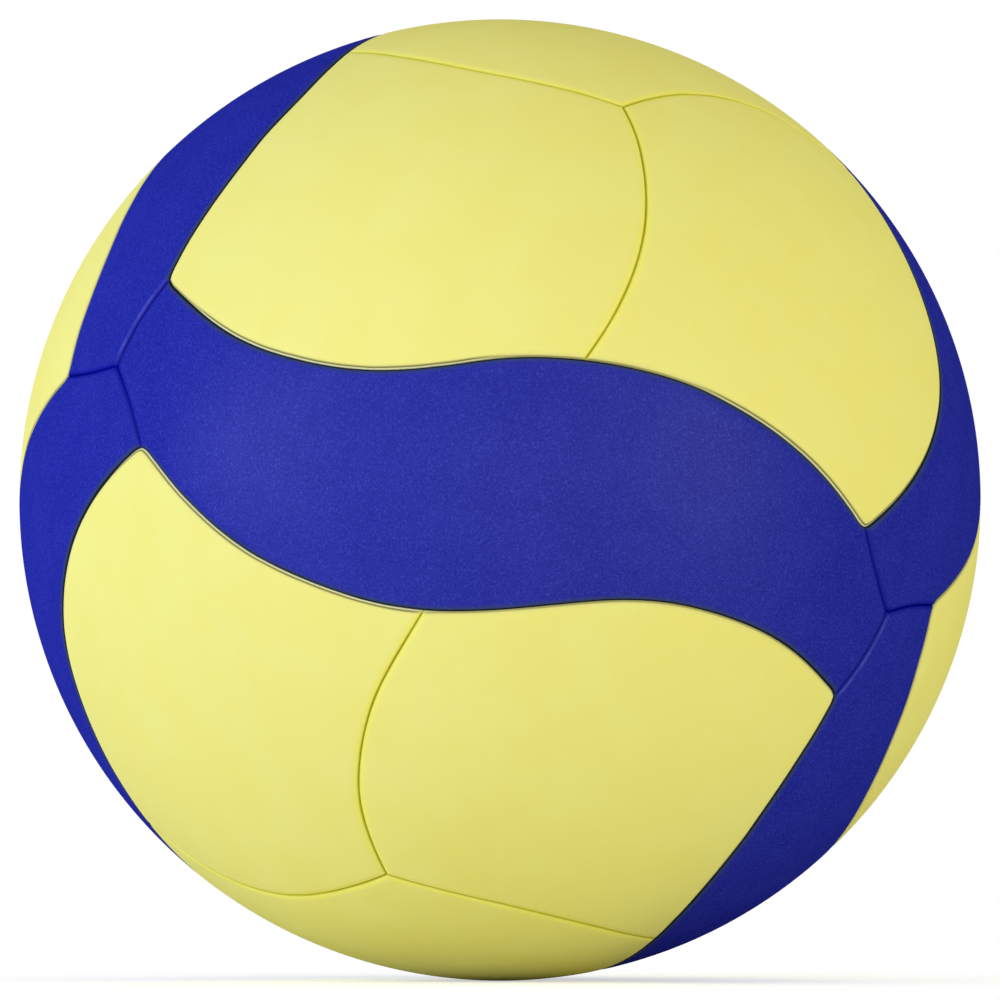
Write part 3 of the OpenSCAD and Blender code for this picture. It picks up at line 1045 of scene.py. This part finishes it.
def spun(profile, roundings):
    """A closed mesh from a profile of (radius, height), with rings rounded by the widths given."""
    bm = bmesh.new()
    points = [bm.verts.new((r, y, 0)) for r, y in profile]
    chain = [bm.edges.new(pair) for pair in zip(points, points[1:])]
    if profile[0][0] > 0:
        chain.append(bm.edges.new((points[-1], points[0])))
    bmesh.ops.spin(bm, geom=points + chain, axis=(0, 1, 0), cent=(0, 0, 0), angle=2 * pi,
                   steps=SPIN_STEPS, use_merge=True)
    bmesh.ops.remove_doubles(bm, verts=bm.verts[:], dist=MERGE_DISTANCE)
    for (radius, height), width in roundings:
        ring = [e for e in bm.edges if all(
            abs(from_axis(v.co) - radius) < NEAR and abs(v.co.y - height) < NEAR
            for v in e.verts)]
        bmesh.ops.bevel(bm, geom=ring, affect="EDGES", offset=width, segments=BEVEL_SEGMENTS,
                        profile=0.5, material=-1)
    bmesh.ops.recalc_face_normals(bm, faces=bm.faces[:])
    for f in bm.faces:
        f.smooth = True
    for e in bm.edges:
        e.smooth = e.calc_face_angle(0) < SHARP_ANGLE
    return bm


def add_spun(node, profile, roundings, finish):
    """Adds a turned piece under its node's name."""
    bm = spun(profile, roundings)
    mesh = bpy.data.meshes.new(node + "_turned")
    bm.to_mesh(mesh)
    print(node, "has", len(bm.faces), "faces and", round(bm.calc_volume() / MM ** 3), "mm3")
    bm.free()
    add_piece(node + "_turned", mesh, [finish], node)


# %% Valve boot
FLANGE_ARC_STEPS = 10


def on_arc(arc_r, r):
    """The profile point at radius r of an arc about the ball's centre."""
    return r, sqrt(arc_r ** 2 - r ** 2)


flange_radii = [NECK_R + (FLANGE_R - NECK_R) * k / FLANGE_ARC_STEPS for k in range(FLANGE_ARC_STEPS + 1)]
flange_under = [on_arc(FLANGE_INNER, r) for r in flange_radii]
flange_over = [on_arc(FLANGE_OUTER, r) for r in reversed(flange_radii)]
boot_profile = [
    (SLEEVE_BORE_R, SLEEVE_END), (NECK_R, SLEEVE_END),
    *flange_under,
    *flange_over,
    (NECK_R, NECK_TOP), (HEAD_HOLE_R, NECK_TOP), (HEAD_HOLE_R, HEAD_SEAT), (SLEEVE_BORE_R, HEAD_SEAT),
]
SOFT_RIM = 0.22 * MM
FLANGE_RIM = 0.5 * MM
FLANGE_FILLET = 0.9 * MM
boot_roundings = [
    ((NECK_R, SLEEVE_END), 2 * SOFT_RIM),
    (flange_under[0], FLANGE_FILLET),
    (flange_under[-1], FLANGE_RIM),
    (flange_over[0], FLANGE_RIM),
    ((NECK_R, NECK_TOP), SOFT_RIM),
    ((HEAD_HOLE_R, NECK_TOP), SOFT_RIM),
]
add_spun("valve_boot", boot_profile, boot_roundings, boot_finish)

# %% Valve plug
TIP_STEPS = 8
NEEDLE_POINT = 0.5 * MM
tip_centre = TIP_END + STEM_R
tip_arc = [(STEM_R * sin(a), tip_centre - STEM_R * cos(a))
           for a in (pi / 2 * k / TIP_STEPS for k in range(TIP_STEPS + 1))]
plug_profile = [
    *tip_arc,
    (STEM_R, COLLAR_START), (COLLAR_R, COLLAR_END), (STEM_R, COLLAR_END),
    (STEM_R, HEAD_UNDER), (HEAD_R, HEAD_UNDER), (HEAD_R, HEAD_TOP),
    (BORE_R, HEAD_TOP), (BORE_R, BORE_END), (0, BORE_END - NEEDLE_POINT),
]
plug_roundings = [
    ((COLLAR_R, COLLAR_END), SOFT_RIM),
    ((HEAD_R, HEAD_UNDER), SOFT_RIM),
    ((HEAD_R, HEAD_TOP), SOFT_RIM),
    ((BORE_R, HEAD_TOP), 2 * SOFT_RIM),
]
add_spun("valve_plug", plug_profile, plug_roundings, plug_finish)

# %% [markdown]
# Floor and light
#
# The photograph has a white background. The floor and the world show white to the camera, and
# the floor keeps the ball's shadow near it, lifted by a weak glow: beyond a short distance it fades
# to plain white. Only the camera and reflections see glow and white, while the ball gets the light
# of a pale board. The light is that of a small studio: two cool soft lamps on the left, a warm one
# on the right and a weak one in front, between pale walls all round, for which the world stands.

# %% White world
ROOM_LEVEL = 0.55
WHITE_LEVEL = 1.0
WHITE = (1, 1, 1, 1)

world = bpy.data.worlds.new("studio")
scene.world = world
world.use_nodes = True
tree = world.node_tree
path = put(tree, "LightPath").outputs
mirrored = maths(tree, "MAXIMUM", path["Is Glossy Ray"], path["Is Transmission Ray"])
seen = maths(tree, "MAXIMUM", path["Is Camera Ray"], mirrored)
levels = {"Value": seen, "To Min": ROOM_LEVEL, "To Max": WHITE_LEVEL}
background = tree.nodes["Background"].inputs
tree.links.new(put(tree, "MapRange", levels).outputs[0], background["Strength"])
background["Color"].default_value = WHITE
print("the room gives", ROOM_LEVEL, "and shows as", WHITE_LEVEL)

# %% Floor under the ball
FLOOR_HALF = 6.0

bm = bmesh.new()
bmesh.ops.create_grid(bm, x_segments=1, y_segments=1, size=FLOOR_HALF)
bmesh.ops.translate(bm, verts=bm.verts[:], vec=(0, 0, cad_box[0].z))
floor_mesh = bpy.data.meshes.new("floor")
bm.to_mesh(floor_mesh)
bm.free()
floor = bpy.data.objects.new("floor", floor_mesh)
scene.collection.objects.link(floor)
print("floor at", round(cad_box[0].z / MM, 1), "mm")

# %% Floor finish that keeps the shadow
FLOOR_WHITE = (0.95, 0.95, 0.95, 1)
FLOOR_ROUGHNESS = 0.9
FLOOR_GLOSS = 0.1
NEAR_GLOW = 0.35
SHADOW_START, SHADOW_END = 0.4 * BALL_R, 2.2 * BALL_R

floor_finish, tree, shader = new_material("white floor")
shader["Base Color"].default_value = FLOOR_WHITE
shader["Roughness"].default_value = FLOOR_ROUGHNESS
shader["Specular IOR Level"].default_value = FLOOR_GLOSS
place = put(tree, "TexCoord").outputs["Object"]
far = put(tree, "VectorMath", {0: place}, operation="LENGTH").outputs["Value"]
fade = ramped(tree, far, SHADOW_START, SHADOW_END)
path = put(tree, "LightPath").outputs
seen = maths(tree, "MAXIMUM", path["Is Camera Ray"], path["Is Glossy Ray"])
board = tree.nodes["Principled BSDF"].outputs[0]
glow = put(tree, "Emission", {"Color": WHITE, "Strength": NEAR_GLOW}).outputs[0]
white = put(tree, "Emission", {"Color": WHITE, "Strength": WHITE_LEVEL}).outputs[0]
near_part = put(tree, "AddShader", {0: board, 1: glow}).outputs[0]
shown = put(tree, "MixShader", {0: fade, 1: near_part, 2: white}).outputs[0]
final = put(tree, "MixShader", {0: seen, 1: board, 2: shown}).outputs[0]
tree.links.new(final, tree.nodes["Material Output"].inputs["Surface"])
floor_mesh.materials.append(floor_finish)
print("the shadow fades out by", round(SHADOW_END / MM), "mm")


# %% Soft lamps
def add_lamp(name, place, size, watts, colour):
    """A square soft lamp that points at the ball's centre."""
    data = bpy.data.lights.new(name, "AREA")
    data.size = size
    data.energy = watts
    data.color = colour
    lamp = bpy.data.objects.new(name, data)
    lamp.location = place
    lamp.rotation_euler = place.to_track_quat("Z", "Y").to_euler()
    scene.collection.objects.link(lamp)
    print(name, "at", [round(c, 2) for c in place], "with", watts, "W")


LAMP_AWAY = 1.8
# Each lamp's name, direction, side in metres, watts and colour
LAMPS = (
    ("left lamp", (-0.807, -0.559, 0.184), 0.9, 9.0, (0.74, 0.81, 1.0)),
    ("left side lamp", (-0.97, -0.2, 0.15), 0.6, 10.0, (0.6, 0.7, 1.0)),
    ("right lamp", (0.757, -0.649, 0.16), 0.9, 8.7, (1.0, 0.95, 0.64)),
    ("front lamp", (0, -1, 0.11), 0.6, 3.0, (1, 1, 1)),
)
for name, direction, size, watts, colour in LAMPS:
    add_lamp(name, Vector(direction) * LAMP_AWAY, size, watts, colour)
